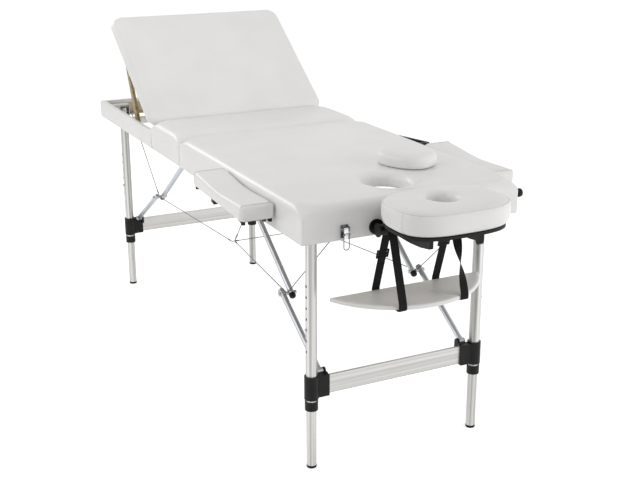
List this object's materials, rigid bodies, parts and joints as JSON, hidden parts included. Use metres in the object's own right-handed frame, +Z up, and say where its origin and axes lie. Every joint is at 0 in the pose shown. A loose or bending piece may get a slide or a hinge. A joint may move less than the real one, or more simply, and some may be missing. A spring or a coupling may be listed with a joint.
{
  "type": "portable massage table",
  "caption": "Folding treatment table with padded top, face hole, raised backrest, side armrests, head cradle, hanging arm shelf and adjustable cable-braced aluminium legs.",
  "frame": {"origin": "on the floor, under the middle of the whole length and width", "axes": "+Y from the head cradle to the foot end, +X to the right of a viewer at the head end, +Z up"},
  "size_m": [0.882, 2.127, 1.1138],
  "materials": {
    "wood": "varnished",
    "leather": "satin",
    "steel": "satin",
    "chrome": "polished",
    "aluminium": "satin",
    "black_plastic": "matte",
    "rubber": "matte",
    "webbing": "woven"
  },
  "bodies": {
    "front_half": {"front_side_rails": "wood", "front_end_rails": "wood", "front_deck": "wood", "front_cover": "leather", "front_cushion": "leather", "front_brackets": "steel", "side_fittings": "black_plastic", "latch_plates": "chrome", "cables": "steel"},
    "hinge_pins": {"hinge_pins": "steel"},
    "rear_half": {"rear_side_rails": "wood", "rear_end_rails": "wood", "rear_deck": "wood", "rear_cover": "leather", "seat_cushion": "leather", "rear_brackets": "steel", "backrest_fittings": "steel"},
    "backrest": {"backrest_board": "wood", "backrest_cushion": "leather", "backrest_pins": "steel"},
    "props": {"prop_struts": "wood"},
    "front_legs": {"front_outer_tubes": "aluminium", "front_crossbars": "aluminium", "front_clamps": "black_plastic"},
    "rear_legs": {"rear_outer_tubes": "aluminium", "rear_crossbars": "aluminium", "rear_clamps": "black_plastic"},
    "front_upper_braces": {"front_upper_braces": "aluminium"},
    "front_lower_braces": {"front_lower_braces": "aluminium"},
    "rear_upper_braces": {"rear_upper_braces": "aluminium"},
    "rear_lower_braces": {"rear_lower_braces": "aluminium"},
    "cradle_base": {"cradle_base": "black_plastic"},
    "cradle_head": {"cradle_arms": "black_plastic", "cradle_platform": "black_plastic", "cradle_cushion": "leather"},
    "cradle_lever": {"cradle_lever": "black_plastic"},
    "shelf": {"shelf_board": "leather", "shelf_straps": "webbing"},
    "plug": {"plug_cushion": "leather"},
    "armrest_l": {"armrest_frame_l": "black_plastic", "armrest_pad_l": "leather"},
    "latch_lever_l": {"latch_lever_l": "chrome"},
    "latch_bail_l": {"latch_bail_l": "chrome"},
    "armrest_r": {"armrest_frame_r": "black_plastic", "armrest_pad_r": "leather"},
    "latch_lever_r": {"latch_lever_r": "chrome"},
    "latch_bail_r": {"latch_bail_r": "chrome"},
    "leg_foot_fl": {"inner_leg_fl": "aluminium", "foot_fl": "rubber"},
    "button_fl": {"button_fl": "steel"},
    "leg_foot_fr": {"inner_leg_fr": "aluminium", "foot_fr": "rubber"},
    "button_fr": {"button_fr": "steel"},
    "leg_foot_rl": {"inner_leg_rl": "aluminium", "foot_rl": "rubber"},
    "button_rl": {"button_rl": "steel"},
    "leg_foot_rr": {"inner_leg_rr": "aluminium", "foot_rr": "rubber"},
    "button_rr": {"button_rr": "steel"}
  },
  "joints": [
    {"name": "fold_first", "type": "hinge", "parent": "front_half", "child": "hinge_pins", "pos_m": [0, 0.1305, 0.694], "axis": [-1, 0, 0], "range_deg": [0, 90], "deforming": ["cables"]},
    {"name": "fold_last", "type": "hinge", "parent": "hinge_pins", "child": "rear_half", "pos_m": [0, 0.1305, 0.694], "axis": [-1, 0, 0], "range_deg": [0, 90], "deforming": ["cables"]},
    {"name": "front_leg_fold", "type": "hinge", "parent": "front_half", "child": "front_legs", "pos_m": [0, -0.7145, 0.728], "axis": [1, 0, 0], "range_deg": [0, 90], "deforming": ["cables"]},
    {"name": "rear_leg_fold", "type": "hinge", "parent": "rear_half", "child": "rear_legs", "pos_m": [0, 0.9755, 0.728], "axis": [-1, 0, 0], "range_deg": [0, 90], "deforming": ["cables"]},
    {"name": "front_lower_brace", "type": "hinge", "parent": "front_legs", "child": "front_lower_braces", "pos_m": [0, -0.6945, 0.285], "axis": [1, 0, 0], "range_deg": [0, 60.06], "deforming": ["cables"]},
    {"name": "front_upper_brace", "type": "hinge", "parent": "front_half", "child": "front_upper_braces", "pos_m": [0, -0.0195, 0.744], "axis": [1, 0, 0], "range_deg": [-35.76, 0], "deforming": ["cables"]},
    {"name": "rear_lower_brace", "type": "hinge", "parent": "rear_legs", "child": "rear_lower_braces", "pos_m": [0, 0.9555, 0.285], "axis": [-1, 0, 0], "range_deg": [0, 60.06], "deforming": ["cables"]},
    {"name": "rear_upper_brace", "type": "hinge", "parent": "rear_half", "child": "rear_upper_braces", "pos_m": [0, 0.2805, 0.744], "axis": [-1, 0, 0], "range_deg": [-35.76, 0], "deforming": ["cables"]},
    {"name": "backrest_tilt", "type": "hinge", "parent": "rear_half", "child": "backrest", "pos_m": [0, 0.4305, 0.766], "axis": [1, 0, 0], "range_deg": [-36, 0]},
    {"name": "prop_swing", "type": "hinge", "parent": "backrest", "child": "props", "pos_m": [0, 0.80566, 1.02373], "axis": [1, 0, 0], "range_deg": [-26.05, 0]},
    {"name": "cradle_slide", "type": "slide", "parent": "front_half", "child": "cradle_base", "axis": [0, -1, 0], "range_m": [0, 0.06]},
    {"name": "cradle_tilt", "type": "hinge", "parent": "cradle_base", "child": "cradle_head", "pos_m": [0, -0.8315, 0.724], "axis": [1, 0, 0], "range_deg": [-10, 15]},
    {"name": "cradle_lever_turn", "type": "hinge", "parent": "cradle_head", "child": "cradle_lever", "pos_m": [0, -0.9715, 0.736], "axis": [1, 0, 0], "range_deg": [-75, 75]},
    {"name": "shelf_swing", "type": "hinge", "parent": "cradle_base", "child": "shelf", "pos_m": [0, -0.8315, 0.724], "axis": [1, 0, 0], "range_deg": [-12, 12]},
    {"name": "plug_lift", "type": "slide", "parent": "front_half", "child": "plug", "axis": [0, 0, 1], "range_m": [0, 0.12]},
    {"name": "armrest_l_slide", "type": "slide", "parent": "front_half", "child": "armrest_l", "axis": [-1, 0, 0], "range_m": [0, 0.03]},
    {"name": "latch_lever_l_turn", "type": "hinge", "parent": "front_half", "child": "latch_lever_l", "pos_m": [-0.217, -0.8075, 0.732], "axis": [-1, 0, 0], "range_deg": [0, 120]},
    {"name": "latch_bail_l_turn", "type": "hinge", "parent": "latch_lever_l", "child": "latch_bail_l", "pos_m": [-0.217, -0.8135, 0.718], "axis": [-1, 0, 0], "range_deg": [0, 50]},
    {"name": "armrest_r_slide", "type": "slide", "parent": "front_half", "child": "armrest_r", "axis": [1, 0, 0], "range_m": [0, 0.03]},
    {"name": "latch_lever_r_turn", "type": "hinge", "parent": "front_half", "child": "latch_lever_r", "pos_m": [0.217, -0.8075, 0.732], "axis": [-1, 0, 0], "range_deg": [0, 120]},
    {"name": "latch_bail_r_turn", "type": "hinge", "parent": "latch_lever_r", "child": "latch_bail_r", "pos_m": [0.217, -0.8135, 0.718], "axis": [-1, 0, 0], "range_deg": [0, 50]},
    {"name": "leg_fl_height", "type": "slide", "parent": "front_legs", "child": "leg_foot_fl", "axis": [0, 0, 1], "range_m": [-0.064, 0.128]},
    {"name": "button_fl_press", "type": "slide", "parent": "leg_foot_fl", "child": "button_fl", "axis": [1, 0, 0], "range_m": [0, 0.005], "stiffness_N_per_m": 800},
    {"name": "leg_fr_height", "type": "slide", "parent": "front_legs", "child": "leg_foot_fr", "axis": [0, 0, 1], "range_m": [-0.064, 0.128]},
    {"name": "button_fr_press", "type": "slide", "parent": "leg_foot_fr", "child": "button_fr", "axis": [-1, 0, 0], "range_m": [0, 0.005], "stiffness_N_per_m": 800},
    {"name": "leg_rl_height", "type": "slide", "parent": "rear_legs", "child": "leg_foot_rl", "axis": [0, 0, 1], "range_m": [-0.064, 0.128]},
    {"name": "button_rl_press", "type": "slide", "parent": "leg_foot_rl", "child": "button_rl", "axis": [1, 0, 0], "range_m": [0, 0.005], "stiffness_N_per_m": 800},
    {"name": "leg_rr_height", "type": "slide", "parent": "rear_legs", "child": "leg_foot_rr", "axis": [0, 0, 1], "range_m": [-0.064, 0.128]},
    {"name": "button_rr_press", "type": "slide", "parent": "leg_foot_rr", "child": "button_rr", "axis": [-1, 0, 0], "range_m": [0, 0.005], "stiffness_N_per_m": 800}
  ],
  "couplings": [
    {"joint": "front_lower_brace", "follows": "front_leg_fold", "ratio": 0.6618},
    {"joint": "front_upper_brace", "follows": "front_leg_fold", "ratio": -0.39173},
    {"joint": "rear_lower_brace", "follows": "rear_leg_fold", "ratio": 0.6618},
    {"joint": "rear_upper_brace", "follows": "rear_leg_fold", "ratio": -0.39173},
    {"joint": "prop_swing", "follows": "backrest_tilt", "ratio": 0.70967}
  ]
}
